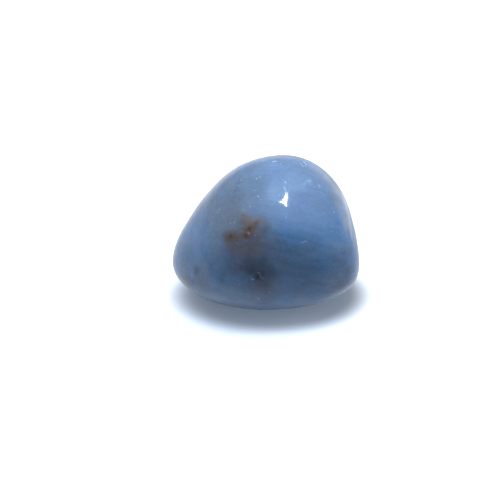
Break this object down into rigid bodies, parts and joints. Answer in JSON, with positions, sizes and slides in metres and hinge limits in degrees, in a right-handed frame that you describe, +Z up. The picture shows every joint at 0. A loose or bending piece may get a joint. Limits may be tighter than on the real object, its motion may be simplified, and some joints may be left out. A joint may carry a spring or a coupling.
{
  "type": "polished anhydrite pebble",
  "caption": "Tumbled and polished pebble of blue anhydrite: a rounded hump with soft worn flats, lying on its flattest side.",
  "frame": {"origin": "bottom centre of the stone's box, on the surface that it rests on", "axes": "+Z up from the resting face; +X to the stone's right along its longest side; -Y is the front, with the brown stain"},
  "size_m": [0.0298, 0.0256, 0.0247],
  "materials": {
    "blue_anhydrite": "polished, cloudy grey-blue with a rust-brown stain"
  },
  "bodies": {
    "root": {"stone": "blue_anhydrite"}
  },
  "joints": []
}
